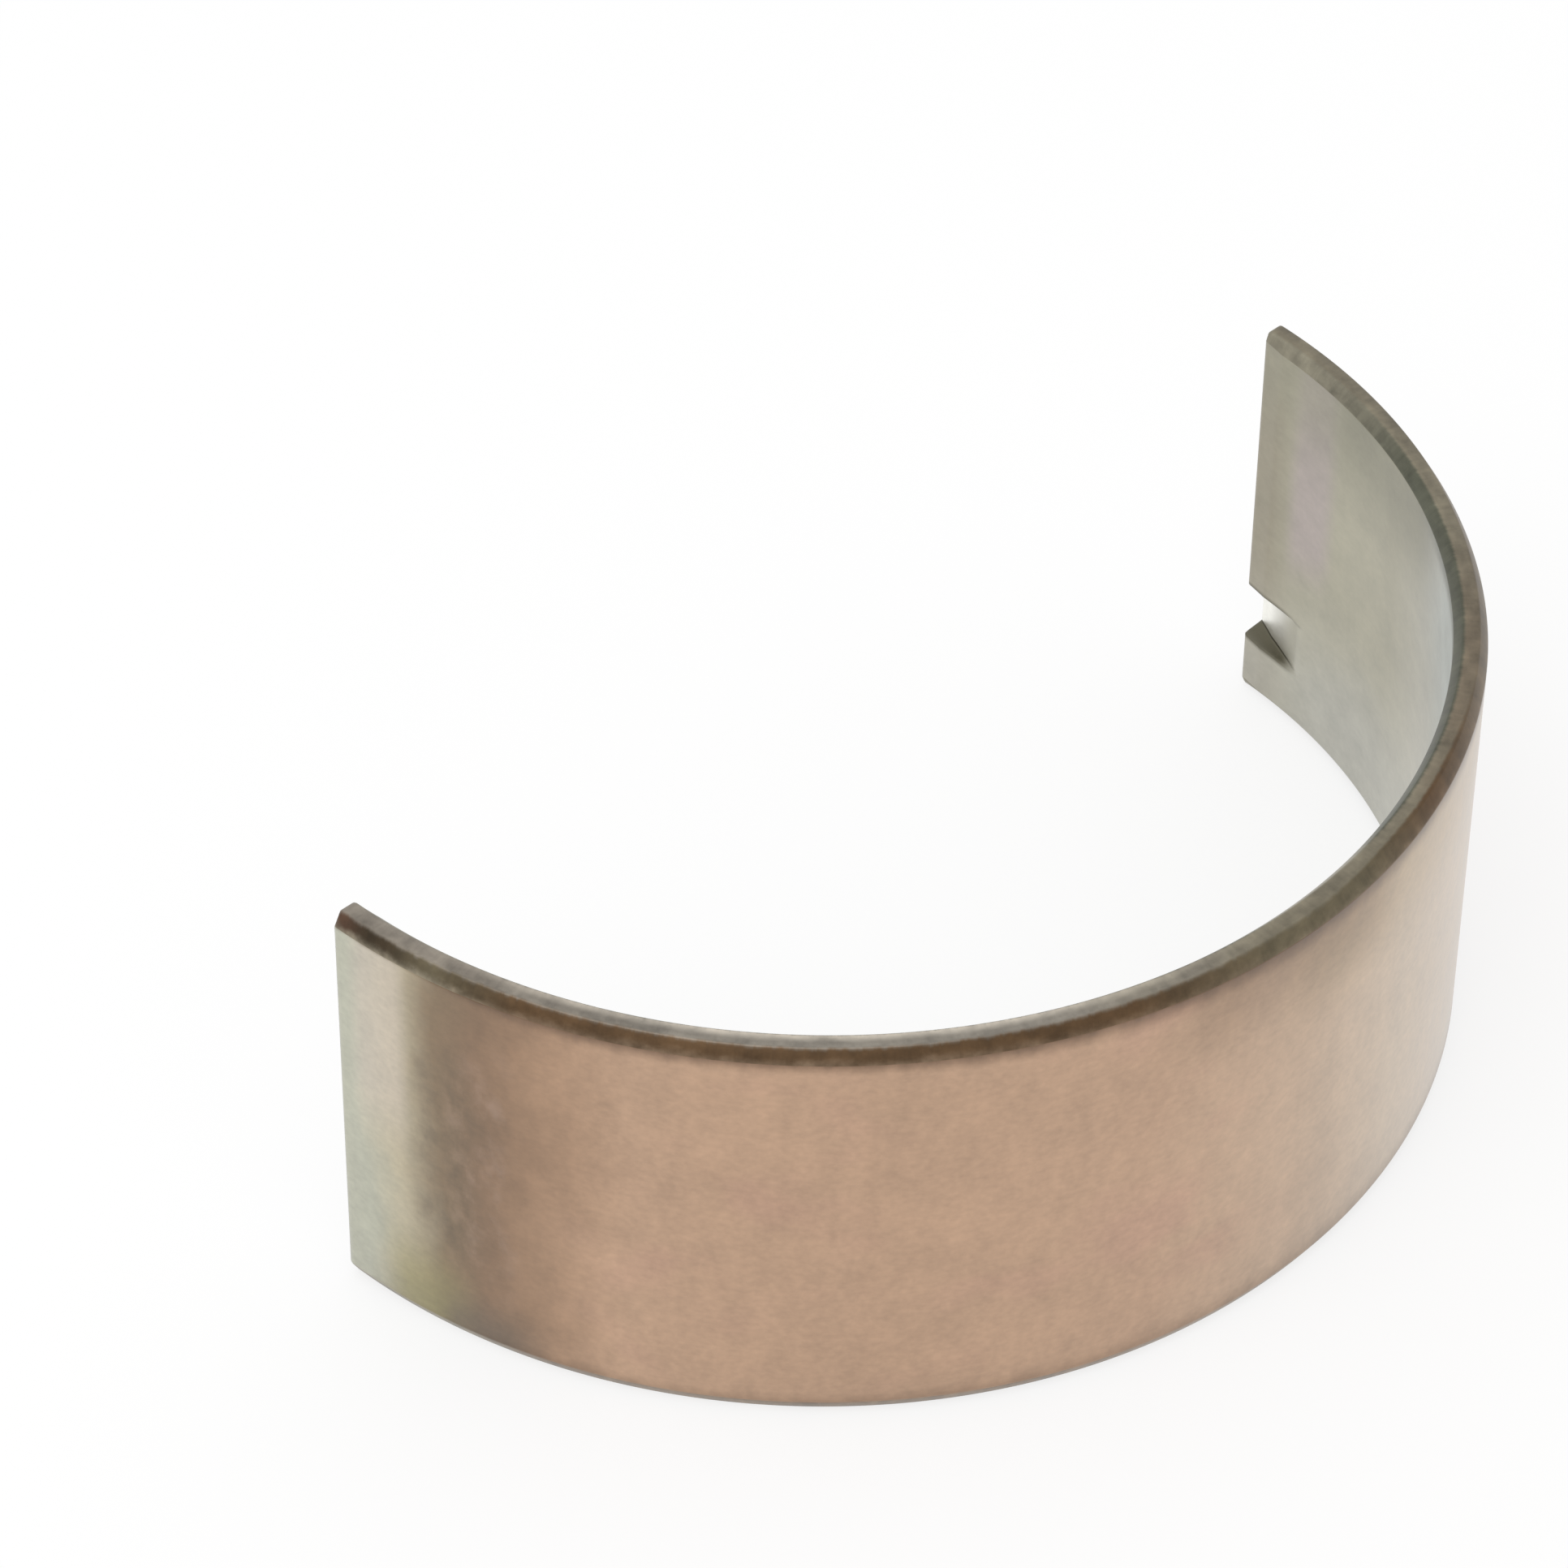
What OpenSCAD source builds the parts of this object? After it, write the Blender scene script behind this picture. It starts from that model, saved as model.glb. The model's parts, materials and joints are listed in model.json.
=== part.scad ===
// Plain half-shell bearing for the big end of an engine's connecting rod.
// It is one pressed strip: a steel back with a bonded lining, curled to a half circle.
// The bearing's axis is Z and the lower side edge lies on z = 0, as the shell stands on a table.
// The crown points to -Y, both parting faces look to +Y, and the tang is at the +X end.

/* [Shell] */
// Outside diameter of the back, with the shell sprung open as it comes
outer_d = 56.5; // [44:0.1:80]
// Width from one side edge to the other
shell_width = 20.5; // [14:0.1:34]
// Wall, back and lining together
wall = 1.5; // [1.3:0.05:2.6]
// Depth of the round edges' chamfers, into the wall
chamfer_depth = 0.38; // [0.1:0.02:0.5]
// Height of the chamfers on the back, along the axis
back_chamfer = 0.65; // [0.2:0.05:1.2]
// Height of the chamfers on the lining, along the axis
lining_chamfer = 0.45; // [0.2:0.05:1]

/* [Parting faces] */
// How far the parting faces lie short of the middle of the circle
parting_setback = 0.75; // [0.2:0.05:1.6]
// Chamfer round the edges of the parting faces
parting_chamfer = 0.2; // [0.05:0.05:0.3]

/* [Crush relief] */
// Depth that the lining is eased back at the parting faces
relief_depth = 0.04; // [0.02:0.01:0.12]
// Length of the eased stretch along the lining
relief_length = 5; // [3:0.5:9]

/* [Locating tang] */
// Width of the tang along the axis
tang_width = 2.9; // [2:0.1:5]
// Height of the tang's middle above the lower side edge
tang_height = 4.5; // [3.5:0.1:9]
// Length of the tang from its root to the parting face
tang_length = 3.8; // [2.5:0.1:6]
// How far the tang is pushed out of the back at the parting face
tang_push = 1.15; // [0.5:0.05:1.2]

/* [Hidden] */
$fn = 180;

// Copper wash on the steel back
copper_tone = [0.75, 0.62, 0.52];

outer_r = outer_d / 2;
inner_r = outer_r - wall;

// Cutters run this far past the faces that they cut
overcut = wall;
// No part of the shell lies this far from the axis
reach = outer_d + tang_push;

// Angle from the X axis to a point that lies some way along the lining from the parting face
function lining_angle(along) = asin(parting_setback / inner_r) + along / inner_r * 180 / PI;
function on_lining(angle) = inner_r * [cos(angle), -sin(angle)];

// The relief is an arc of its own, struck from a centre moved towards the parting face
relief_start = on_lining(lining_angle(relief_length));
relief_shift = relief_depth / (cos(lining_angle(0)) - cos(lining_angle(relief_length)));
relief_r = norm(relief_start - [relief_shift, 0]);

// Where the relieved lining and the back reach the parting face
parting_inner_x = relief_shift + sqrt(relief_r ^ 2 - parting_setback ^ 2);
parting_outer_x = sqrt(outer_r ^ 2 - parting_setback ^ 2);

// The tang is a strip of the wall, bent out about its root on the lining
tang_root_angle = lining_angle(tang_length);
tang_root = on_lining(tang_root_angle);
tang_bottom = tang_height - tang_width / 2;
mid_wall_r = inner_r + wall / 2;

// Bend that brings the back of the strip out by the push at the parting face:
// the root, the tip and the bent strip's own centre form a triangle with known sides
tang_tip = [parting_outer_x + tang_push, -parting_setback];
tang_span = tang_tip - tang_root;
span_to_centre = acos((norm(tang_span) ^ 2 + inner_r ^ 2 - outer_r ^ 2) / (2 * norm(tang_span) * inner_r));
tang_bend = 180 - tang_root_angle - span_to_centre - atan2(tang_span.y, tang_span.x);

// Lower half of the strip's section, with its two edges broken
module half_section() {
    polygon([
        [inner_r, lining_chamfer],
        [inner_r + chamfer_depth, 0],
        [outer_r - chamfer_depth, 0],
        [outer_r, back_chamfer],
        [outer_r, shell_width / 2],
        [inner_r, shell_width / 2]
    ]);
}

// Section of the strip, the same at both side edges
module strip_section() {
    half_section();
    translate([0, shell_width])
        mirror([0, 1])
            half_section();
}

// Everything on the open side of the parting plane
module open_side() {
    translate([-reach, -parting_setback, -overcut])
        cube([2 * reach, reach, shell_width + 2 * overcut]);
}

// Cylinder through the whole width, for what is struck along the axis
module through_cylinder(r) {
    translate([0, 0, -overcut])
        cylinder(r = r, h = shell_width + 2 * overcut);
}

// Eased stretch of the lining at both parting faces
module crush_reliefs() {
    for (side = [-1, 1])
        translate([side * relief_shift, 0, 0])
            through_cylinder(relief_r);
}

// Section of a bar that breaks an edge at the origin: its right side is the chamfer,
// once it is turned to the angle at which the metal lies
module edge_bar_section(metal_angle) {
    size = 4 * parting_chamfer;
    rotate(metal_angle)
        translate([parting_chamfer / sqrt(2) - size, -size / 2])
            square(size);
}

// Bars along the axis, at both ends of the strip
module upright_bars(x, metal_angle) {
    for (side = [0, 1])
        mirror([side, 0, 0])
            translate([x, -parting_setback, -overcut])
                linear_extrude(shell_width + 2 * overcut)
                    edge_bar_section(metal_angle);
}

// Bar across both ends of the strip, where the parting faces meet a side edge
module cross_bar(z, metal_angle) {
    translate([-reach, -parting_setback, z])
        rotate([90, 0, 90])
            linear_extrude(2 * reach)
                edge_bar_section(metal_angle);
}

// Broken edges of the parting faces: those of the back run out just short of the tang
module parting_chamfers() {
    cross_bar(0, 135);
    cross_bar(shell_width, -135);
    upright_bars(parting_inner_x, -45);
    difference() {
        upright_bars(parting_outer_x, -135);
        translate([0, -reach, tang_bottom - parting_chamfer])
            cube([reach, 2 * reach, tang_width + 2 * parting_chamfer]);
    }
}

// Turns a piece of the wall out about the root of the tang
module bent_out() {
    translate(tang_root)
        rotate(-tang_bend)
            translate(-tang_root)
                children();
}

// Block over the tang's stretch of wall, starting some way behind its root
module tang_block(behind) {
    rotate(-tang_root_angle)
        translate([inner_r - overcut, -behind, tang_bottom])
            cube([wall + 2 * overcut, behind + 2 * tang_length, tang_width]);
}

// Outer half of the bent strip, which stands out of the back
module tang_lug() {
    difference() {
        bent_out()
            intersection() {
                tang_block(0);
                through_cylinder(outer_r);
            }
        through_cylinder(mid_wall_r);
    }
}

// Ramp that the bent strip leaves in the lining
module tang_pocket() {
    bent_out()
        intersection() {
            tang_block(overcut);
            through_cylinder(inner_r);
        }
}

module bearing_shell() {
    color(copper_tone)
        difference() {
            union() {
                rotate_extrude() strip_section();
                tang_lug();
            }
            open_side();
            crush_reliefs();
            parting_chamfers();
            tang_pocket();
        }
}

bearing_shell();
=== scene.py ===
# %% [markdown]
# A plain bearing shell, modelled and finished in Blender
#
# A bearing shell is one half of the sleeve that a crankpin turns in. It is a steel strip
# with a soft grey lining on one side and a thin wash of copper on the other, curled to a
# half circle. This lesson builds its visible mesh and its finishes around the solid that
# the engineering model gives, in the same place and at the same size, in metres.

# %% Load the frame
import json
import math

import bmesh
import bpy
from mathutils import Color, Matrix, Vector


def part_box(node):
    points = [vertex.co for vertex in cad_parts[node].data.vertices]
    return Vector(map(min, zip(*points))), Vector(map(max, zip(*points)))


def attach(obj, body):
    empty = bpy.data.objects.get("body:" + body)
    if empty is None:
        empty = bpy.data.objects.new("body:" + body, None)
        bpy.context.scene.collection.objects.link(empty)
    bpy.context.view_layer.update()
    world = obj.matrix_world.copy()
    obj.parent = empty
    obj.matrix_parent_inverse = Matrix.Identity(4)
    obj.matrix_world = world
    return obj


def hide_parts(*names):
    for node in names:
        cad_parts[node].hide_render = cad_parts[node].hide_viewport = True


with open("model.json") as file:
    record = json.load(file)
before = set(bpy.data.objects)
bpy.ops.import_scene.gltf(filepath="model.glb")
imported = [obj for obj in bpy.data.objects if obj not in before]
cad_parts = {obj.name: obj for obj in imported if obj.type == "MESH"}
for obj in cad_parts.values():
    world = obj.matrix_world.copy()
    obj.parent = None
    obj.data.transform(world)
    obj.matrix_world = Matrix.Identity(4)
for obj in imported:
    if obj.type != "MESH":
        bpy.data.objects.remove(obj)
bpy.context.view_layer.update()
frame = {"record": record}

MM = 0.001


# %% [markdown]
# Sizes
#
# The main sizes are read from the frame, so the looks can't drift away from the solid: the
# width is the height of the box, and the two radii, the parting plane and the middle of the
# tang are where the record's mounts say. Only the small details, the broken edges and the
# tang's own outline, are values of this script.

# %% Read the main sizes
low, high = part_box("bearing_shell")
mounts = {mount["name"]: mount for mount in frame["record"]["mounts"]}

width = high.z - low.z
lining_r = mounts["journal_seat"]["dims"]["r_mm"] * MM
back_r = -mounts["housing_back"]["pos_m"][1]
wall = back_r - lining_r
parting_y = mounts["parting_face_plain_end"]["pos_m"][1]
tang_z = mounts["locating_tang"]["pos_m"][2]

print(f"wall {wall / MM:.2f} mm, width {width / MM:.2f} mm, parting plane y {parting_y / MM:.2f} mm")

# %% [markdown]
# The section of the strip
#
# Seen at its end, the strip is a long thin rectangle whose four corners are chamfered. The
# chamfers are higher than they are deep, and those on the back are higher than those on the
# lining. Eight vertices draw that outline in the plane y = 0, on the left of the axis. A
# vertex bevel then takes the sharpness off each corner, because no pressed edge is a perfect
# line: it is the tiny round that catches the light. The face that the bevel works on is
# removed again, since only the outline is turned.

# %% Draw the section
CHAMFER_DEPTH = 0.38 * MM
BACK_CHAMFER = 0.65 * MM
LINING_CHAMFER = 0.45 * MM
CORNER_ROUND = 0.07 * MM
CORNER_STEPS = 2

shell = bmesh.new()
outline = [
    (lining_r, LINING_CHAMFER),
    (lining_r + CHAMFER_DEPTH, 0),
    (back_r - CHAMFER_DEPTH, 0),
    (back_r, BACK_CHAMFER),
    (back_r, width - BACK_CHAMFER),
    (back_r - CHAMFER_DEPTH, width),
    (lining_r + CHAMFER_DEPTH, width),
    (lining_r, width - LINING_CHAMFER),
]
corners = [shell.verts.new((-r, 0, low.z + z)) for r, z in outline]
bmesh.ops.contextual_create(shell, geom=corners)
bmesh.ops.bevel(
    shell, geom=corners, offset=CORNER_ROUND, segments=CORNER_STEPS,
    profile=0.5, affect="VERTICES", material=-1,
)
bmesh.ops.delete(shell, geom=shell.faces[:], context="FACES_ONLY")
print("section:", len(shell.verts), "vertices")

# %% [markdown]
# Curling the strip
#
# A press bends the flat strip round a mandrel. Spin does the same to the outline: it copies
# it round the bearing's axis in small steps and joins the copies with faces. Half a turn is
# slightly too much, because the parting faces of a bearing lie in one plane a little short of
# the middle, so a bisecting plane then trims both ends at once and the two openings are
# closed.

# %% Curl and trim
CURL_STEPS = 240
SNAP = 0.001 * MM

bmesh.ops.spin(
    shell, geom=shell.verts[:] + shell.edges[:], cent=(0, 0, 0), axis=(0, 0, 1),
    angle=math.pi, steps=CURL_STEPS, use_merge=False,
)


def cut(point, normal, clear=False):
    """Cuts the whole shell with a plane, and can drop what lies on the normal's side."""
    everything = shell.verts[:] + shell.edges[:] + shell.faces[:]
    bmesh.ops.bisect_plane(
        shell, geom=everything, dist=SNAP, plane_co=point, plane_no=normal, clear_outer=clear,
    )


cut((0, parting_y, 0), (0, 1, 0), clear=True)
rim_edges = [edge for edge in shell.edges if edge.is_boundary]
bmesh.ops.holes_fill(shell, edges=rim_edges, sides=0)
bmesh.ops.recalc_face_normals(shell, faces=shell.faces[:])
print("curled strip:", len(shell.faces), "faces, open edges", sum(e.is_boundary for e in shell.edges))

# %% [markdown]
# Which face belongs to which finish
#
# The strip has four kinds of surface: the copper-washed back, the lining, the side edges with
# their chamfers, and the two cut parting faces. They are told apart by where their normals
# point, and each kind gets its own material number. This is done now, while every face still
# points straight out or straight in, because the tang bends some of them later.

# %% Sort the faces
BACK, LINING, EDGE, PARTING = range(4)
STRAIGHT = 0.97


def kind_of(face):
    """Which of the four surfaces a face of the curled strip belongs to."""
    centre = face.calc_center_median()
    if face.normal.y > STRAIGHT and abs(centre.y - parting_y) < CORNER_ROUND:
        return PARTING
    outward = face.normal.dot(Vector((centre.x, centre.y, 0)).normalized())
    if outward > STRAIGHT:
        return BACK
    if outward < -STRAIGHT:
        return LINING
    return EDGE


for face in shell.faces:
    face.material_index = kind_of(face)
    face.smooth = True
kinds = [face.material_index for face in shell.faces]
counts = [kinds.count(kind) for kind in (BACK, LINING, EDGE, PARTING)]
print("faces on back, lining, edges and parting faces:", counts)

# %% [markdown]
# Crush relief and lip
#
# Beside each parting face the lining is eased back by a few hundredths of a millimetre, so
# that it can't bulge inwards when the bearing cap is tightened. It shows as a band with its
# own sheen. The last millimetre is a steeper lip, a narrow bevel that catches the light. One
# cut at each end marks where the lip starts. Every vertex that stands inside the eased surface
# then moves out to it, those of the chamfers too, so the lip runs out cleanly at both rims.

# %% Ease the lining at the ends
RELIEF_DEPTH = 0.04 * MM
RELIEF_LENGTH = 5 * MM
LIP_DEPTH = 0.16 * MM
LIP_LENGTH = 1.2 * MM

half_turn_trim = math.asin(-parting_y / lining_r)
lip_angle = half_turn_trim + LIP_LENGTH / lining_r
for side in (-1, 1):
    cut((0, 0, 0), (side * math.sin(lip_angle), math.cos(lip_angle), 0))

eased = 0
for v in shell.verts:
    along = (math.atan2(-v.co.y, abs(v.co.x)) - half_turn_trim) * lining_r
    relief = RELIEF_DEPTH * max(0.0, 1 - along / RELIEF_LENGTH)
    lip = LIP_DEPTH * max(0.0, 1 - along / LIP_LENGTH)
    outwards = Vector((v.co.x, v.co.y, 0))
    lift = lining_r + relief + lip - outwards.length
    if lift > 0:
        v.co += outwards.normalized() * lift
        eased += 1
print("vertices on the eased lining:", eased)

# %% [markdown]
# Broken edges at the parting faces
#
# The ends are broached flat and their edges are broken by a light brush. Cuts just behind the
# parting plane mark the rings of a quarter round, and scaling each ring towards the middle of
# the wall bends the edge over. A bevel would do it too, but its width is larger than the small
# rounds at the corners of the section, so it would fold over itself there.

# %% Break the parting edges
BREAK = 0.2 * MM
BREAK_STEPS = 3
RING_REACH = 0.01 * MM
QUARTER_TURN = math.radians(90)

for step in range(BREAK_STEPS + 1):
    along = QUARTER_TURN * step / BREAK_STEPS
    ring_y = parting_y - BREAK * (1 - math.sin(along))
    inset = BREAK * (1 - math.cos(along))
    if step < BREAK_STEPS:
        cut((0, ring_y, 0), (0, 1, 0))
    for side in (-1, 1):
        middle = Vector((side * (lining_r + wall / 2), 0, low.z + width / 2))
        ring = [v for v in shell.verts if abs(v.co.y - ring_y) < RING_REACH and v.co.x * side > 0]
        shrink = (1 - 2 * inset / wall, 1, 1 - 2 * inset / width)
        bmesh.ops.scale(shell, vec=shrink, space=Matrix.Translation(-middle), verts=ring)
    print(f"ring {(parting_y - ring_y) / MM:.2f} mm behind the face is drawn in by {inset / MM:.2f} mm")

# %% [markdown]
# The locating tang
#
# A punch shears a short strip of the wall along two lines and pushes it out, so that the lug
# on the back drops into a notch of the housing and a ramp is left in the lining. The mesh is
# made in the same way. A few closely spaced cuts across the whole shell mark the two flanks,
# and then every vertex between them moves out in proportion to its distance from the root.
# Between the outer cuts the push fades over a tenth of a millimetre, which gives a steep flank
# with rounded shoulders and leaves one closed skin with no overlaps. One more cut on either
# side of a flank holds the wide faces beside it flat, so that the bend doesn't smear into their
# shading.

# %% Press the tang
TANG_WIDTH = 2.9 * MM
TANG_LENGTH = 3.8 * MM
FLANK = 0.14 * MM
FLANK_CUTS = 5
FLANK_HOLD = 0.05 * MM

tang_push = high.x - math.sqrt(back_r**2 - parting_y**2)
flank = [FLANK * (step / (FLANK_CUTS - 1) - 0.5) for step in range(FLANK_CUTS)]
flank = [flank[0] - FLANK_HOLD, *flank, flank[-1] + FLANK_HOLD]
for side in (-1, 1):
    for offset in flank:
        cut((0, 0, tang_z + side * (TANG_WIDTH / 2 + offset)), (0, 0, 1))


def soft(share):
    """Goes from 0 to 1 as its value does, with a soft start and a soft end."""
    return share * share * (3 - 2 * share)


root_angle = half_turn_trim + TANG_LENGTH / lining_r
pressed = 0
for v in shell.verts:
    angle = math.atan2(-v.co.y, v.co.x)
    rise = (root_angle - angle) / (root_angle - half_turn_trim)
    inside = (TANG_WIDTH / 2 + FLANK / 2 - abs(v.co.z - tang_z)) / FLANK
    if rise > 0 and inside > 0:
        v.co.x += tang_push * min(1.0, rise) * soft(min(1.0, inside))
        pressed += 1
print(f"tang: {pressed} vertices pushed out by up to {tang_push / MM:.2f} mm")

# %% [markdown]
# The finished mesh
#
# The skin is closed, so its normals can be recalculated once more. A Weighted Normal modifier
# lets the large faces keep their own normals, and the small rounds take up all of the bend:
# without it the shading of the wide back would sag towards its chamfers.

# %% Make the object
FULL_WEIGHT = 100

bmesh.ops.recalc_face_normals(shell, faces=shell.faces[:])
shell_mesh = bpy.data.meshes.new("shell_strip")
shell.to_mesh(shell_mesh)
shell.free()
shell_strip = bpy.data.objects.new("shell_strip", shell_mesh)
bpy.context.scene.collection.objects.link(shell_strip)
keep_flat = shell_strip.modifiers.new("keep_flat", "WEIGHTED_NORMAL")
keep_flat.weight = FULL_WEIGHT
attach(shell_strip, "root")
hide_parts("bearing_shell")
triangles = sum(len(polygon.vertices) - 2 for polygon in shell_mesh.polygons)
print("shell_strip:", triangles, "triangles")

# %% [markdown]
# Shader maths as Python
#
# A material is a graph of nodes, and long graphs are hard to read as code. One small class
# wraps a socket, so that sums and products on it add their own Math nodes, and one method adds
# any other node: its settings first, then the values or links of its sockets.


# %% Wrap a socket
class Signal:
    """A socket in a material's graph. Arithmetic on it adds Math nodes."""

    def __init__(self, tree, socket=None):
        self.tree = tree
        self.socket = socket

    def node(self, kind, settings=None, sockets=None, out=0):
        """Adds a node, sets it up, connects it and gives back one of its outputs, if it has any."""
        made = self.tree.nodes.new(kind)
        for name, value in (settings or {}).items():
            if name == "stops":
                for _ in range(len(value) - len(made.color_ramp.elements)):
                    made.color_ramp.elements.new(1.0)
                for element, (place, colour) in zip(made.color_ramp.elements, value):
                    element.position = place
                    element.color = colour
            else:
                setattr(made, name, value)
        for name, value in (sockets or {}).items():
            if isinstance(value, Signal):
                self.tree.links.new(value.socket, made.inputs[name])
            else:
                made.inputs[name].default_value = value
        return Signal(self.tree, made.outputs[out] if made.outputs else None)

    def math(self, operation, first, second=0.0):
        return self.node("ShaderNodeMath", {"operation": operation}, {0: first, 1: second})

    def __add__(self, other):
        return self.math("ADD", self, other)

    def __radd__(self, other):
        return self.math("ADD", other, self)

    def __sub__(self, other):
        return self.math("SUBTRACT", self, other)

    def __rsub__(self, other):
        return self.math("SUBTRACT", other, self)

    def __mul__(self, other):
        return self.math("MULTIPLY", self, other)

    def __rmul__(self, other):
        return self.math("MULTIPLY", other, self)

    def __truediv__(self, other):
        return self.math("DIVIDE", self, other)

    def least(self, other):
        return self.math("MINIMUM", self, other)

    def most(self, other):
        return self.math("MAXIMUM", self, other)

    def step(self, start, end):
        """0 at start, 1 at end, and a soft curve between them, whichever is larger."""
        limits = {"From Min": min(start, end), "From Max": max(start, end)}
        levels = {"To Min": float(start > end), "To Max": float(start < end)}
        return self.node(
            "ShaderNodeMapRange", {"interpolation_type": "SMOOTHSTEP"},
            {"Value": self, **limits, **levels},
        )

    def within(self, start, full, fading=None, end=None):
        """0 at start, 1 from full to fading and 0 at end. With two places it stays at 1."""
        rise = self.step(start, full)
        return rise if fading is None else rise * self.step(end, fading)


print("Signal can add, subtract, multiply and divide")

# %% [markdown]
# Colours and coordinates that all the finishes share
#
# Colours are written as they look on a screen and turned into the linear values that the
# shader wants. The patterns follow the strip, so every finish first unrolls it: how far round
# the bearing a point lies, in degrees from the plain end, how far from the axis and how high,
# both in millimetres. Noise that is read at those unrolled places can be stretched along the
# strip, as rolling and brushing marks are. A mark, such as a stain, is told by the places
# between which it shows: how far round, how high and how far from the nearer end.


# %% Unroll the strip
SCREEN_WHITE = 255
HALF_TURN = 180
NOISE_MIDDLE = 0.5
NOISE_ROUGHNESS = 0.55
# The Mix node uses the same socket names for every kind of value, so those for colours go by number
MIX_UNDER, MIX_OVER, MIX_RESULT = 6, 7, 2


def tone(*levels):
    """A screen colour, red, green and blue from 0 to 255, as linear values with alpha."""
    screen = Color([level / SCREEN_WHITE for level in levels])
    return (*screen.from_srgb_to_scene_linear(), 1.0)


class Strip:
    """The unrolled coordinates of the shell in one material's graph, and patterns that use them."""

    def __init__(self, tree):
        start = Signal(tree)
        place = start.node("ShaderNodeTexCoord", out="Object")
        place_mm = start.node(
            "ShaderNodeVectorMath", {"operation": "SCALE"}, {0: place, "Scale": 1 / MM},
        )
        x, y, z = (start.node("ShaderNodeSeparateXYZ", {}, {0: place_mm}, out=axis) for axis in "XYZ")
        turn = start.math("ARCTAN2", 0 - y, 0 - x)
        flat = start.node("ShaderNodeCombineXYZ", {}, {"X": x, "Y": y})
        self.start = start
        self.height = z
        self.turn = turn * math.degrees(1)
        self.radius = start.node("ShaderNodeVectorMath", {"operation": "LENGTH"}, {0: flat}, out="Value")
        self.unrolled = start.node(
            "ShaderNodeCombineXYZ", {}, {"X": turn * (back_r / MM), "Y": self.radius, "Z": z},
        )
        self.from_side = z.least(width / MM - z)
        trim = math.degrees(half_turn_trim)
        mm_per_degree = math.radians(1) * lining_r / MM
        self.from_end = (self.turn.least(HALF_TURN - self.turn) - trim) * mm_per_degree

    def noise(self, long, high, detail=2.0, shift=0.0):
        """Noise around 0, in blotches so long round the strip and so high across it."""
        scale = (1 / long, 1 / high, 1 / high)
        stretched = self.start.node(
            "ShaderNodeVectorMath", {"operation": "MULTIPLY_ADD"},
            {0: self.unrolled, 1: scale, 2: (shift, shift, shift)},
        )
        return self.start.node(
            "ShaderNodeTexNoise", {},
            {"Vector": stretched, "Scale": 1.0, "Detail": detail, "Roughness": NOISE_ROUGHNESS},
        ) - NOISE_MIDDLE

    def mark(self, share=1.0, turn=(), height=(), end=(), drift=None):
        """How strongly a mark covers a point, up to its share. Drift moves its height.

        Four places say where it starts, is full, fades and ends along a coordinate. Two say where
        it is gone and where it is full.
        """
        up = self.height if drift is None else self.height + drift
        mask = share
        for along, places in ((self.turn, turn), (up, height), (self.from_end, end)):
            if places:
                mask = mask * along.within(*places)
        return mask

    def ramp(self, value, stops):
        """Colour stops along a value. Each stop is a place and a colour."""
        first, last = stops[0][0], stops[-1][0]
        share = (value - first) / (last - first)
        places = [((place - first) / (last - first), colour) for place, colour in stops]
        return self.start.node("ShaderNodeValToRGB", {"stops": places}, {0: share})

    def mix(self, share, under, over):
        """One colour laid over another by a share."""
        return self.start.node(
            "ShaderNodeMix", {"data_type": "RGBA"},
            {0: share, MIX_UNDER: under, MIX_OVER: over}, out=MIX_RESULT,
        )

    def cover(self, colour, layers):
        """Lays marks over a colour, one after another. Each is a share and a colour."""
        for share, over in layers:
            colour = self.mix(share, colour, over)
        return colour

    def shade(self, colour, amount):
        """Makes a colour lighter or darker by a factor near 1."""
        return self.start.node(
            "ShaderNodeVectorMath", {"operation": "SCALE"}, {0: colour, "Scale": amount},
        )

    def bump(self, height, depth_mm):
        """A normal that makes a height of 1 look that deep."""
        return self.start.node(
            "ShaderNodeBump", {}, {"Distance": depth_mm * MM, "Height": height}, out="Normal",
        )


print("copper as linear colour:", [round(c, 3) for c in tone(187, 153, 125)])

# %% [markdown]
# A metal with an oil film
#
# New shells are packed in a film of oil. Each finish is therefore a metal with a thin clear
# coat over it, which brightens a surface where it turns away from the eye, as oil does. The
# coat is even, so its values sit on the shader itself.

# %% Start a finish
FILM_ROUGHNESS = 0.3


def new_finish(name, coat):
    """A metal material with an oil film, and the strip's coordinates in its graph."""
    material = bpy.data.materials.new(name)
    material.use_nodes = True
    shader = material.node_tree.nodes["Principled BSDF"]
    shader.inputs["Metallic"].default_value = 1.0
    shader.inputs["Coat Weight"].default_value = coat
    shader.inputs["Coat Roughness"].default_value = FILM_ROUGHNESS
    shell_mesh.materials.append(material)
    return shader, Strip(material.node_tree)


def connect(shader, **signals):
    """Links signals to a shader's sockets, as in Base_Color=colour, and says how large the graph is."""
    for name, signal in signals.items():
        signal.tree.links.new(signal.socket, shader.inputs[name.replace("_", " ")])
    print(shell_mesh.materials[-1].name, "has", len(signal.tree.nodes), "nodes")


print("oil film of roughness", FILM_ROUGHNESS)

# %% [markdown]
# The dark stain and painted dark reflection along the side edges
#
# Both the back and the rims show it, so its border is worked out once. It is darkest on the
# chamfer, where it is a painted dark reflection as well as a stain, and fades down the back.
# It starts narrow and almost black at the plain end, grows wider and browner beside it and
# wider still before the crown, and past the crown it turns olive, brown again and grey. The
# end itself is reddish, and the lower side edge has only a trace of it.

# %% Stain and painted dark reflection along the edges
DARK_EDGE_REACH = 0.57
DARK_EDGE_FADE = 0.27
DARK_EDGE_GROWTH = 0.24
FIRST_GROWTH = (8, 22)
SECOND_GROWTH = (48, 84)
DARK_EDGE_WANDER = 0.5
LOWER_TRACE = 0.45
UPPER_HALF = (0.4 * width / MM, 0.6 * width / MM)

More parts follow.
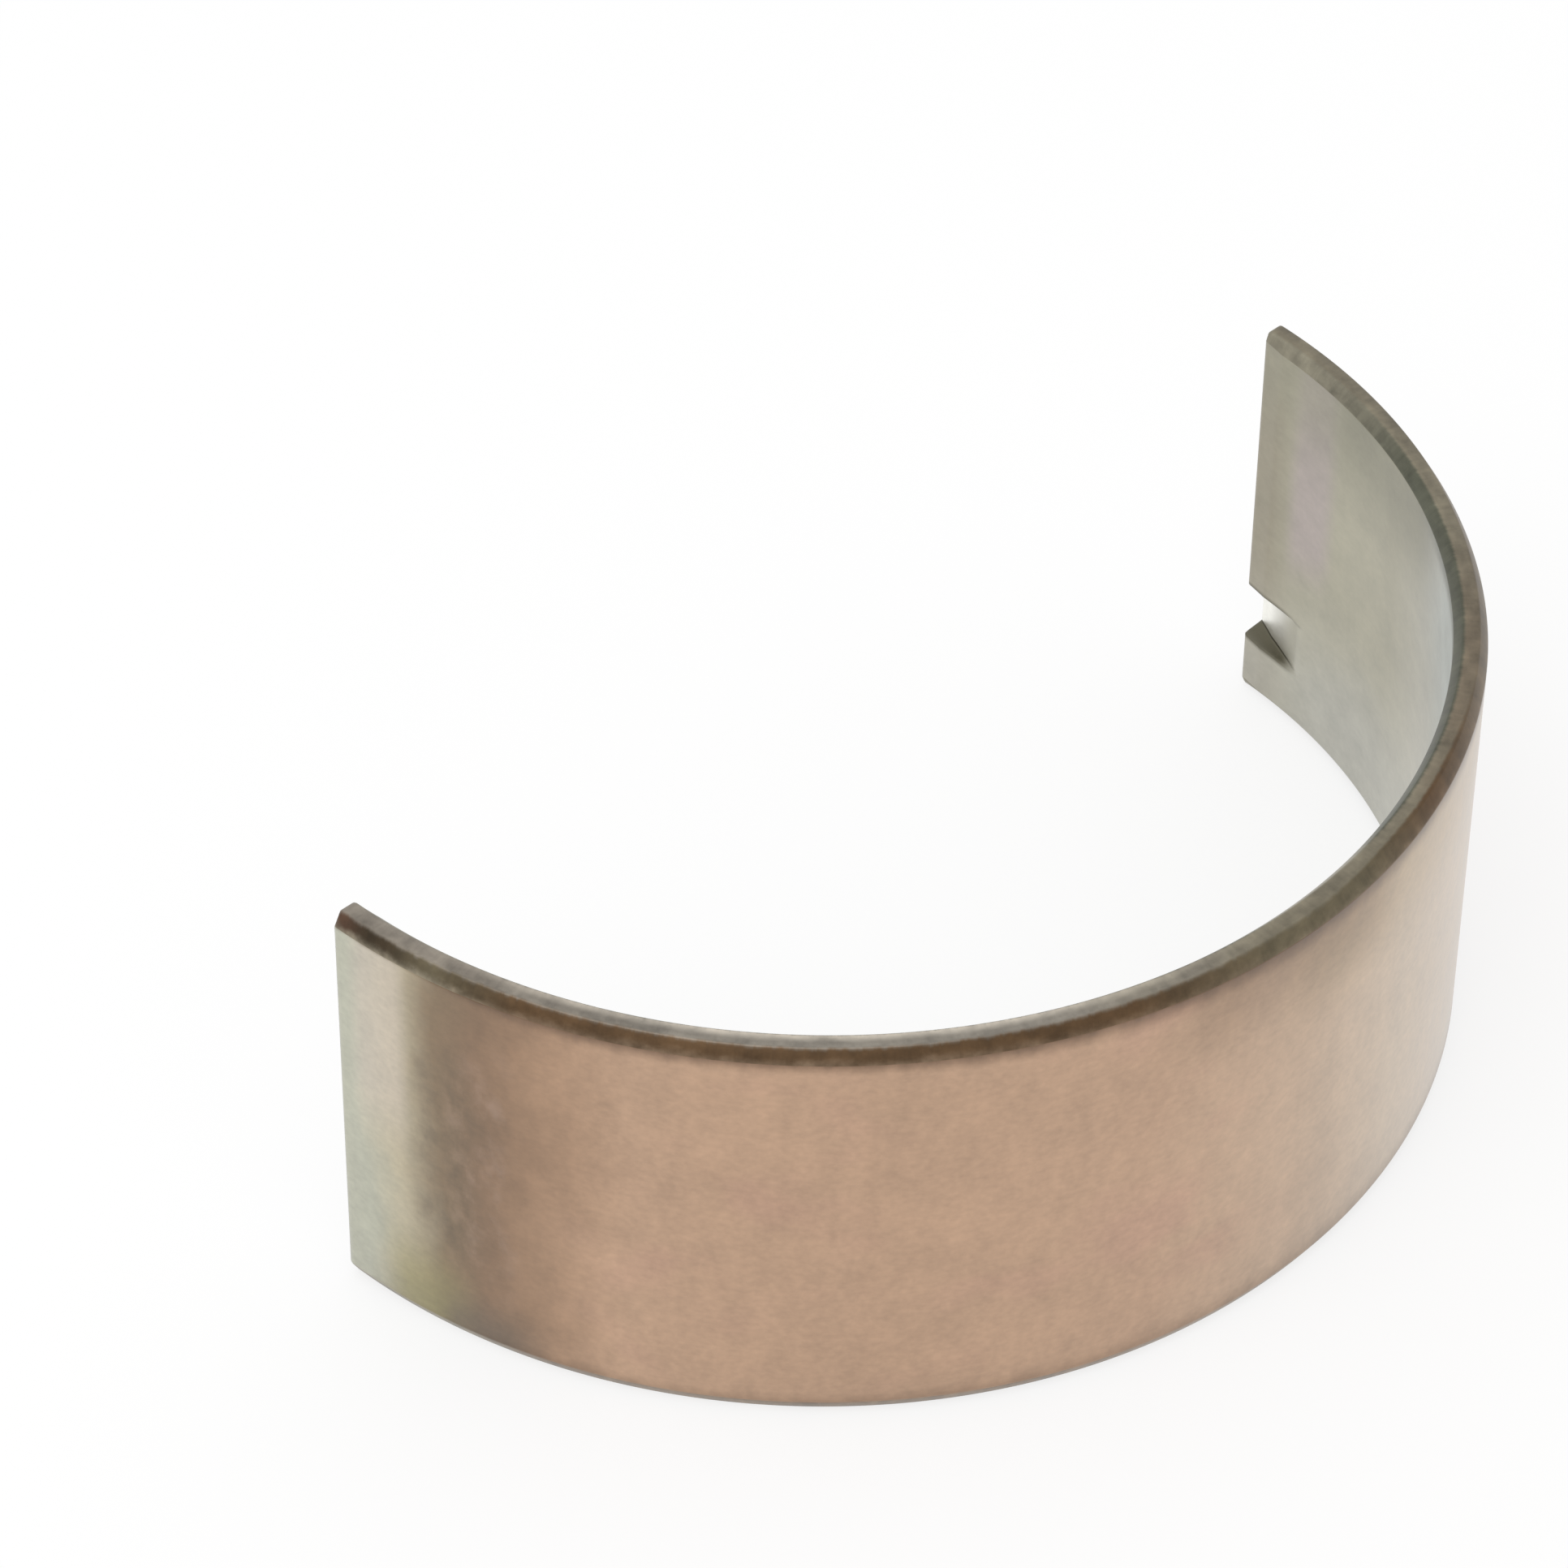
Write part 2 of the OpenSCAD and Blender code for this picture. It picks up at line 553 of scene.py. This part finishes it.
RED_END = tone(94, 70, 54)
END_DARK_EDGE = tone(68, 56, 40)
OLIVE_EDGE = tone(103, 94, 74)
BROWN_EDGE = tone(92, 70, 47)
GREY_EDGE = tone(110, 98, 80)


def stain_and_dark_reflection(strip, wander):
    """How strongly the stain and the painted dark reflection cover a point, 0 to 1."""
    growth = strip.mark(DARK_EDGE_GROWTH, turn=FIRST_GROWTH) + strip.mark(DARK_EDGE_GROWTH, turn=SECOND_GROWTH)
    past = strip.from_side - DARK_EDGE_REACH - growth + wander * DARK_EDGE_WANDER
    strength = LOWER_TRACE + strip.mark(1 - LOWER_TRACE, height=UPPER_HALF)
    return (past / (DARK_EDGE_FADE + growth)).step(1, -1) * strength


def stain_and_reflection_tone(strip):
    """The colour of the stain and the painted dark reflection round the strip."""
    return strip.ramp(strip.turn, [
        (0, RED_END), (2.6, RED_END), (4.6, END_DARK_EDGE), (7, END_DARK_EDGE), (12, OLIVE_EDGE),
        (20, BROWN_EDGE), (72, BROWN_EDGE), (86, OLIVE_EDGE), (97, OLIVE_EDGE), (109, BROWN_EDGE),
        (128, GREY_EDGE), (180, GREY_EDGE),
    ])


print(f"stain reaches {DARK_EDGE_REACH} to {DARK_EDGE_REACH + 2 * DARK_EDGE_GROWTH:.2f} mm from the side edge")

# %% [markdown]
# Painted shade along the tang's flanks
#
# The punch sheared the tang along its two flanks. Those flanks get painted shade, on the back
# and in the lining alike, so those lines are dark in both finishes.

# %% Painted shade along the tang's flanks
SHADE_INSIDE = 0.24
FLANK_FADE = 0.08
SHADE_OUTSIDE = 0.34
SHADE_RUN_OUT = 1.4
HALF_TANG = TANG_WIDTH / MM / 2
TANG_ROOT = (TANG_LENGTH / MM, TANG_LENGTH / MM - SHADE_RUN_OUT)
TANG_END = (160, 165)


def painted_flank_shade(strip):
    """1 on the two flanks of the tang, where the painted shade goes, and 0 elsewhere."""
    from_tang = strip.start.math("ABSOLUTE", strip.height - tang_z / MM)
    inner = HALF_TANG - SHADE_INSIDE
    flanks = from_tang.within(inner, inner + FLANK_FADE, HALF_TANG, HALF_TANG + SHADE_OUTSIDE)
    return flanks * strip.mark(turn=TANG_END, end=TANG_ROOT)


print(f"torn lines are {2 * HALF_TANG:.1f} mm apart")

# %% [markdown]
# The copper wash on the back
#
# The back is steel with a thin flash of copper on it, satin from tumbling. On this shell the
# wash is worn to pale metal at the end, with a dark olive stain beside it that fades into the
# copper, and it gets paler again further round. The stain's border wanders, because noise
# moves the place that the colour stops are read at.

# %% Colours round the back
PALE_END = tone(183, 183, 164)
CREAM = tone(189, 178, 150)
OLIVE_STAIN = tone(128, 106, 76)
BROWN_STAIN = tone(132, 103, 75)
RUSSET = tone(149, 117, 88)
COPPER_DARK = tone(170, 136, 107)
COPPER = tone(187, 153, 125)
WORN_COPPER = tone(192, 164, 137)
WORN_PALE = tone(195, 175, 151)
CLOUD_DRIFT = 5
MOTTLE_DRIFT = 2

shader, strip = new_finish("copper_wash", coat=1.0)
cloud = strip.noise(long=9, high=7)
mottle = strip.noise(long=1.3, high=2.0, detail=4, shift=3)
grain = strip.noise(long=0.4, high=0.3, shift=5)
brushing = strip.noise(long=2.6, high=0.12, shift=7)

wash_tone = strip.ramp(strip.turn + cloud * CLOUD_DRIFT + mottle * MOTTLE_DRIFT, [
    (0, PALE_END), (4, PALE_END), (8, CREAM), (12.5, OLIVE_STAIN), (16.5, BROWN_STAIN), (20, RUSSET),
    (24.5, COPPER_DARK), (30, COPPER), (74, COPPER), (90, WORN_COPPER), (104, WORN_PALE),
    (122, WORN_PALE), (142, COPPER), (168, COPPER), (175, CREAM), (180, PALE_END),
])
print("copper wash has its colours")

# %% [markdown]
# Stains and wear on the back
#
# Smaller marks lie over those colours. Beside the plain end there are a yellow and a brown
# stain at the foot, pale wear above them, and soft tarnish with a few pale spots in the dark
# stain. Round the crown the copper has rosy patches and a dull brown stain under the rim.
# Each mark is a share, a place and a colour, so they can all be laid on in one go.

# %% Stains beside the plain end
YELLOW_STAIN = tone(148, 139, 90)
PINK_WEAR = tone(203, 190, 175)
FOOT_STAIN = tone(108, 93, 76)
TARNISH = tone(84, 70, 50)
PALE_SPOT = tone(178, 152, 136)
YELLOW_DRIFT = 4
STAIN_DRIFT = 3
OFF_THE_SIDES = (1.5, 7)
DARK_SPOTS = (-0.15, 0.25)
LIGHT_SPOTS = (0.05, -0.25)

spots = strip.noise(long=1.0, high=1.5, detail=5, shift=11)
off_sides = strip.from_side.step(*OFF_THE_SIDES)
stains = [
    (strip.mark(0.75, turn=(5, 9, 12, 17), height=(5.5, 1.5), drift=cloud * YELLOW_DRIFT), YELLOW_STAIN),
    (strip.mark(0.6, turn=(2.5, 5, 8, 10), height=(8, 13)), PINK_WEAR),
    (strip.mark(0.7, turn=(11, 14, 18, 24), height=(3.5, 0.8), drift=cloud * STAIN_DRIFT), FOOT_STAIN),
    (strip.mark(0.5, turn=(8.5, 11.5, 14, 18)) * off_sides * spots.step(*DARK_SPOTS), TARNISH),
    (strip.mark(0.3, turn=(12, 15, 18, 21)) * off_sides * spots.step(*LIGHT_SPOTS), PALE_SPOT),
]
wash_tone = strip.cover(wash_tone, stains)
print("stains beside the plain end:", len(stains))

# %% Wear round the crown
ROSE_COPPER = tone(188, 150, 126)
DULL_TOP = tone(168, 142, 100)
EDGE_BROWN = tone(92, 63, 32)
FLANK_SHADE_ON_BACK = tone(112, 104, 92)
ROSE_PATCHES = (0, 0.2)
EDGE_SHARE = 0.95
FLANK_SHADE_SHARE = 0.8

patches = strip.noise(long=7, high=5, shift=13)
edge_dark = stain_and_dark_reflection(strip, mottle)
brown_top = strip.mark(0.6, turn=(72, 82, 97, 104), height=(14.5, 19.5), drift=cloud * STAIN_DRIFT)
wear = [
    (strip.mark(0.7, turn=(22, 30, 78, 92)) * patches.step(*ROSE_PATCHES), ROSE_COPPER),
    (strip.mark(0.6, turn=(84, 96), height=(13, 19.5)), DULL_TOP),
    (brown_top, BROWN_STAIN),
    (edge_dark * EDGE_SHARE, EDGE_BROWN),
    # Painted shade on the tang's flanks.
    (painted_flank_shade(strip) * FLANK_SHADE_SHARE, FLANK_SHADE_ON_BACK),
]
wash_tone = strip.cover(wash_tone, wear)
print("layers of wear on the back:", len(wear))

# %% Grain and sheen of the back
WASH_CLOUD = 0.25
WASH_MOTTLE = 0.4
WASH_GRAIN = 0.3
WASH_BRUSHING = 0.06
DULL_BAND = 0.06
PAINTED_SHADE_LOW = 0.07
WASH_ROUGHNESS = 0.39
MOTTLED_WASH = 0.14
STAINED_WASH = 0.12
FINE_RELIEF = 0.4
WASH_RELIEF = 0.003

light = 1 + cloud * WASH_CLOUD + mottle * WASH_MOTTLE + grain * WASH_GRAIN + brushing * WASH_BRUSHING
# The back gets a darker line past the crown, and painted shade towards the bottom, near the floor.
dull = strip.mark(DULL_BAND, turn=(88, 91, 93, 97)) + strip.mark(PAINTED_SHADE_LOW, height=(3.5, 1))
connect(
    shader,
    Base_Color=strip.shade(wash_tone, light - dull),
    Roughness=WASH_ROUGHNESS + mottle * MOTTLED_WASH + edge_dark * STAINED_WASH,
    Normal=strip.bump(mottle + (brushing + grain) * FINE_RELIEF, depth_mm=WASH_RELIEF),
)

# %% [markdown]
# The grey lining
#
# The lining is a soft tin-aluminium alloy, bored to size. Boring leaves very fine lines round
# the bearing, and the surface is a warm grey that shifts a little from olive to lilac, with the
# crush relief as a band of its own beside the parting face. It has painted shade under the rim,
# a thin darker line along the rim past the crown, a painted reflection as a pale strip near the
# tang end and a painted reflection of the floor that lightens it towards the bottom. The ramp
# left by the tang has a painted highlight towards its tip, and its flanks have painted shade.

# %% Colours of the lining
LINING_LIP = tone(160, 153, 135)
LINING_LILAC = tone(179, 169, 163)
LINING_OLIVE = tone(176, 172, 153)
LINING_GREY = tone(189, 186, 173)
LINING_COOL = tone(185, 189, 183)
PAINTED_FLOOR_REFLECTION = tone(187, 186, 177)
LINING_PAINTED_SHADE = tone(150, 147, 129)
PAINTED_PALE_REFLECTION = tone(196, 203, 202)
LINING_DRIFT = 2.4

shader, strip = new_finish("grey_lining", coat=0.4)
cloud = strip.noise(long=8, high=6, shift=21)
mottle = strip.noise(long=1.6, high=1.2, detail=4, shift=23)
grain = strip.noise(long=0.4, high=0.3, shift=25)
bore_lines = strip.noise(long=14, high=0.09, shift=27)

lining_tone = strip.ramp(strip.from_end + cloud * LINING_DRIFT, [
    (0, LINING_LIP), (1.4, LINING_LIP), (3.2, LINING_OLIVE), (11, LINING_OLIVE), (16, LINING_GREY),
    (22, LINING_COOL), (32, LINING_GREY),
])
print("lining has its colours")

# %% Painted shade, reflections and highlight in the lining and on the tang's ramp
PAINTED_RAMP_HIGHLIGHT = tone(244, 243, 236)
FLANK_SHADE_IN_LINING = tone(96, 92, 75)
RIM_LINE = tone(104, 104, 94)
TANG_SIDE = (95, 125)
TANG_LOW = tang_z / MM - HALF_TANG
TANG_TOP = tang_z / MM + HALF_TANG
TANG_FACE = (TANG_LOW - FLANK_FADE, TANG_LOW, TANG_TOP, TANG_TOP + FLANK_FADE)
LILAC_DRIFT = 4
SHADE_DRIFT = 2
FLOOR_REFLECTION_DRIFT = 5
BAND_SHADE = 0.65
END_FLOOR_REFLECTION = 0.6

lilac = strip.mark(turn=TANG_SIDE, end=(2, 3.2, 4.6, 6), height=(7.5, 11), drift=cloud * LILAC_DRIFT)
# Painted shade under the rim.
painted_shade_under_rim = strip.mark(turn=TANG_SIDE, end=(18, 13), height=(14, 19.5), drift=cloud * SHADE_DRIFT)
# Painted reflection of the floor, lighter towards the bottom.
floor_reflection_mask = strip.mark(0.8, height=(9.5, 1.5), drift=cloud * FLOOR_REFLECTION_DRIFT)
shades = [
    (lilac, LINING_LILAC),
    (painted_shade_under_rim * (BAND_SHADE + strip.mark(1 - BAND_SHADE, end=(4.5, 7))), LINING_PAINTED_SHADE),
    # Painted reflection: a pale strip beside the rim near the tang end.
    (strip.mark(0.6, turn=TANG_SIDE, end=(13, 19, 22, 32), height=(10, 18)), PAINTED_PALE_REFLECTION),
    (strip.mark(0.75, turn=(95, 125, 140, 154), height=(19.2, 20)), RIM_LINE),
    (floor_reflection_mask * (END_FLOOR_REFLECTION + strip.mark(1 - END_FLOOR_REFLECTION, end=(2, 6))), PAINTED_FLOOR_REFLECTION),
    # Painted highlight on the tang's ramp, towards its tip.
    (strip.mark(turn=TANG_END, height=TANG_FACE, end=(3.4, 0.6)), PAINTED_RAMP_HIGHLIGHT),
    # Painted shade on the tang's flanks.
    (painted_flank_shade(strip), FLANK_SHADE_IN_LINING),
]
lining_tone = strip.cover(lining_tone, shades)
print("shades of the lining:", len(shades))

# %% Grain and sheen of the lining
LINING_CLOUD = 0.3
LINING_MOTTLE = 0.36
LINING_GRAIN = 0.14
LINING_BORING = 0.1
LINING_ROUGHNESS = 0.42
MOTTLED_LINING = 0.1
BORED_LINING = 0.05
BORING_RELIEF = 0.6
LINING_RELIEF = 0.003

light = 1 + cloud * LINING_CLOUD + mottle * LINING_MOTTLE + grain * LINING_GRAIN
light = light + bore_lines * LINING_BORING
connect(
    shader,
    Base_Color=strip.shade(lining_tone, light),
    Roughness=LINING_ROUGHNESS + mottle * MOTTLED_LINING + bore_lines * BORED_LINING,
    Normal=strip.bump(mottle + bore_lines * BORING_RELIEF, depth_mm=LINING_RELIEF),
)

# %% [markdown]
# The side edges
#
# The rims are turned steel without any wash, stained brown, and their chamfers are darker than
# the flat between them, the outer one partly by painted dark reflection. The distance from the
# axis tells the inner chamfer, the flat and the outer chamfer apart. The flat has a painted
# highlight on its inner side, strongest before the crown, where the rest of the flat gets
# painted shade, and it is duller towards the tang. Short streaks cross it where the turning
# tool has marked it.

# %% Colours across the rim
RIM_END = tone(142, 134, 123)
RIM_CROWN = tone(156, 149, 138)
RIM_FAR = tone(126, 119, 102)
RIM_BROWN = tone(119, 108, 91)
RIM_DRIFT = 20
STREAK_WANDER = 0.16
INNER_SIDE = 0.5
INNER_PAINTED_HIGHLIGHT = 0.15
CROWN_PAINTED_HIGHLIGHT = 0.9
CROWN_PAINTED_SHADE = 0.18

shader, strip = new_finish("bare_edge", coat=0.3)
cloud = strip.noise(long=4, high=3, shift=31)
mottle = strip.noise(long=0.9, high=0.6, detail=4, shift=33)
streaks = strip.noise(long=0.3, high=1.6, detail=3, shift=37)

chamfer = CHAMFER_DEPTH / MM
across = strip.radius - lining_r / MM + streaks * STREAK_WANDER
rim_tone = strip.ramp(strip.turn + cloud * RIM_DRIFT, [
    (0, RIM_END), (14, RIM_END), (30, RIM_CROWN), (66, RIM_CROWN), (88, RIM_FAR), (108, RIM_FAR),
    (120, RIM_BROWN), (130, RIM_BROWN), (146, RIM_FAR), (180, RIM_FAR),
])
crown = strip.mark(turn=(12, 24, 56, 92))
inner_side = across.step(chamfer + INNER_SIDE, chamfer)
# Painted highlight along the inner side of the flat, and painted shade over the flat at the crown.
painted_highlight = (INNER_PAINTED_HIGHLIGHT + crown * CROWN_PAINTED_HIGHLIGHT) * inner_side
rim_tone = strip.shade(rim_tone, 1 - crown * CROWN_PAINTED_SHADE + painted_highlight)
print("rim has its flat")

# %% Chamfers and streaks
INNER_CHAMFER = tone(92, 93, 79)
LOWER_CHAMFER_PAINTED_LIGHT = tone(168, 148, 127)
PALE_CHAMFER = tone(158, 149, 130)
BLEND = 0.09
STAIN_OVER = 0.16
EDGE_CLOUD = 0.8
EDGE_STREAKS = 0.5
EDGE_ROUGHNESS = 0.47
MOTTLED_EDGE = 0.16
EDGE_RELIEF = 0.006

pale_inner = strip.mark(0.65, end=(12, 3)) + strip.mark(0.8, turn=(82, 90, 97, 104))
inner_tone = strip.mix(pale_inner, INNER_CHAMFER, LINING_LIP)
inner_end = chamfer + strip.mark(BLEND, turn=(90, 110))
outer_start = wall / MM - chamfer - strip.mark(STAIN_OVER, turn=(92, 102, 114, 126))
# Past the plain end the outer chamfers take a colour painted lighter, as painted light against the
# floor's shade on the lower chamfer.
outer_tone = strip.mix(strip.mark(turn=(10, 22)), PALE_CHAMFER, LOWER_CHAMFER_PAINTED_LIGHT)
# On the outer chamfer the stain's colours also stand for a painted dark reflection.
outer_tone = strip.mix(stain_and_dark_reflection(strip, mottle), outer_tone, stain_and_reflection_tone(strip))
edge_tone = strip.cover(rim_tone, [
    ((across - inner_end).step(BLEND, -BLEND), inner_tone),
    ((across - outer_start).step(-BLEND, BLEND), outer_tone),
])
connect(
    shader,
    Base_Color=strip.shade(edge_tone, 1 + cloud * EDGE_CLOUD + mottle + streaks * EDGE_STREAKS),
    Roughness=EDGE_ROUGHNESS + mottle * MOTTLED_EDGE,
    Normal=strip.bump(streaks + mottle, depth_mm=EDGE_RELIEF),
)

# %% [markdown]
# The parting faces
#
# The two cut ends show what the strip is made of: a thick steel backing and a thin, darker
# layer of lining alloy. The broach leaves fine lines along the cut, and it has dragged a little
# copper from the back over the steel.

# %% Colours of the parting faces
STEEL_CUT = tone(172, 160, 149)
LINING_CUT = tone(134, 130, 117)
DRAGGED_COPPER = tone(184, 151, 130)
LINING_THICKNESS = 0.55
LAYER_WANDER = 0.08
COPPER_PATCHES = (0.02, 0.2)
COPPER_SHARE = 0.6
CUT_MOTTLE = 0.25
CUT_BROACHING = 0.2
CUT_ROUGHNESS = 0.42
MOTTLED_CUT = 0.12
CUT_RELIEF = 0.004

shader, strip = new_finish("parting_cut", coat=0.3)
mottle = strip.noise(long=1.0, high=0.8, detail=3, shift=41)
patches = strip.noise(long=4, high=3, shift=45)
broach_lines = strip.noise(long=6, high=0.16, shift=43)
depth = strip.radius - lining_r / MM + mottle * LAYER_WANDER
steel_tone = strip.mix(patches.step(*COPPER_PATCHES) * COPPER_SHARE, STEEL_CUT, DRAGGED_COPPER)
in_steel = depth.step(LINING_THICKNESS, LINING_THICKNESS + BLEND)
cut_tone = strip.mix(in_steel, LINING_CUT, steel_tone)
connect(
    shader,
    Base_Color=strip.shade(cut_tone, 1 + mottle * CUT_MOTTLE + broach_lines * CUT_BROACHING),
    Roughness=CUT_ROUGHNESS + mottle * MOTTLED_CUT,
    Normal=strip.bump(broach_lines, depth_mm=CUT_RELIEF),
)

# %% [markdown]
# The camera
#
# The view is the photograph's: a long lens, from the left of the crown and well above it. The
# place, the aim and the small tilt come from matching the shell's own edges.

# %% Place the camera
CAMERA_PLACE = Vector((-152.479, -152.034, 200.146)) * MM
CAMERA_AIM = Vector((-1.534, 0.558, 10.25)) * MM
CAMERA_TILT = math.radians(0.656)
LENS = 151.87
NEAREST = 10 * MM
FARTHEST = 10.0

camera = bpy.data.objects.new("camera", bpy.data.cameras.new("camera"))
bpy.context.scene.collection.objects.link(camera)
camera.data.lens = LENS
camera.data.clip_start = NEAREST
camera.data.clip_end = FARTHEST
look = (CAMERA_AIM - CAMERA_PLACE).to_track_quat("-Z", "Y").to_matrix().to_4x4()
camera.matrix_world = Matrix.Translation(CAMERA_PLACE) @ look @ Matrix.Rotation(CAMERA_TILT, 4, "Z")
bpy.context.scene.camera = camera
print("camera is", round((CAMERA_AIM - CAMERA_PLACE).length, 3), "m away")

# %% [markdown]
# Floor and light
#
# The shell stands on a plain white table in a bright, even studio. The floor is a diffuse
# white that shows to the camera, and in reflections, mostly as plain white, so the background
# is clean and the shadow stays as a soft hint. The world is an even white, and one large soft
# lamp from the upper left gives the metal a direction.

# %% Build the floor
FLOOR_SIZE = 3.0
FLOOR_GAP = 0.02 * MM
FLOOR_WHITE = tone(246, 246, 246)
WHITE = tone(255, 255, 255)
PLAIN_SHARE = 0.75
PLAIN_RAYS = ("Camera", "Glossy", "Transmission")

sheet = bmesh.new()
bmesh.ops.create_grid(sheet, x_segments=1, y_segments=1, size=FLOOR_SIZE)
bmesh.ops.translate(sheet, vec=(0, 0, low.z - FLOOR_GAP), verts=sheet.verts)
floor_mesh = bpy.data.meshes.new("floor")
sheet.to_mesh(floor_mesh)
sheet.free()
floor = bpy.data.objects.new("floor", floor_mesh)
bpy.context.scene.collection.objects.link(floor)

floor_white = bpy.data.materials.new("floor_white")
floor_white.use_nodes = True
floor_white.node_tree.nodes.clear()
start = Signal(floor_white.node_tree)
camera_ray, glossy_ray, transmission_ray = (
    start.node("ShaderNodeLightPath", out=f"Is {kind} Ray") for kind in PLAIN_RAYS
)
share = camera_ray.most(glossy_ray).most(transmission_ray) * PLAIN_SHARE
matt = start.node("ShaderNodeBsdfDiffuse", {}, {"Color": FLOOR_WHITE})
plain = start.node("ShaderNodeEmission", {}, {"Color": WHITE, "Strength": 1.0})
both = start.node("ShaderNodeMixShader", {}, {0: share, 1: matt, 2: plain})
start.node("ShaderNodeOutputMaterial", {}, {"Surface": both})
floor_mesh.materials.append(floor_white)
print("floor is", 2 * FLOOR_SIZE, "m wide")

# %% Light the studio
WORLD_LEVEL = 0.9
LAMP_SIZE = 0.6
LAMP_POWER = 2.0
LAMP_PLACE = Vector((-0.45, -0.15, 0.7))

studio = bpy.data.worlds.new("studio")
studio.use_nodes = True
studio.node_tree.nodes["Background"].inputs["Color"].default_value = WHITE
studio.node_tree.nodes["Background"].inputs["Strength"].default_value = WORLD_LEVEL
bpy.context.scene.world = studio

softbox = bpy.data.objects.new("softbox", bpy.data.lights.new("softbox", "AREA"))
softbox.data.size = LAMP_SIZE
softbox.data.energy = LAMP_POWER
softbox.location = LAMP_PLACE
softbox.rotation_euler = (-LAMP_PLACE).to_track_quat("-Z", "Y").to_euler()
bpy.context.scene.collection.objects.link(softbox)
bpy.context.scene.view_settings.view_transform = "Standard"
print("world", WORLD_LEVEL, "and one softbox of", LAMP_POWER, "W")
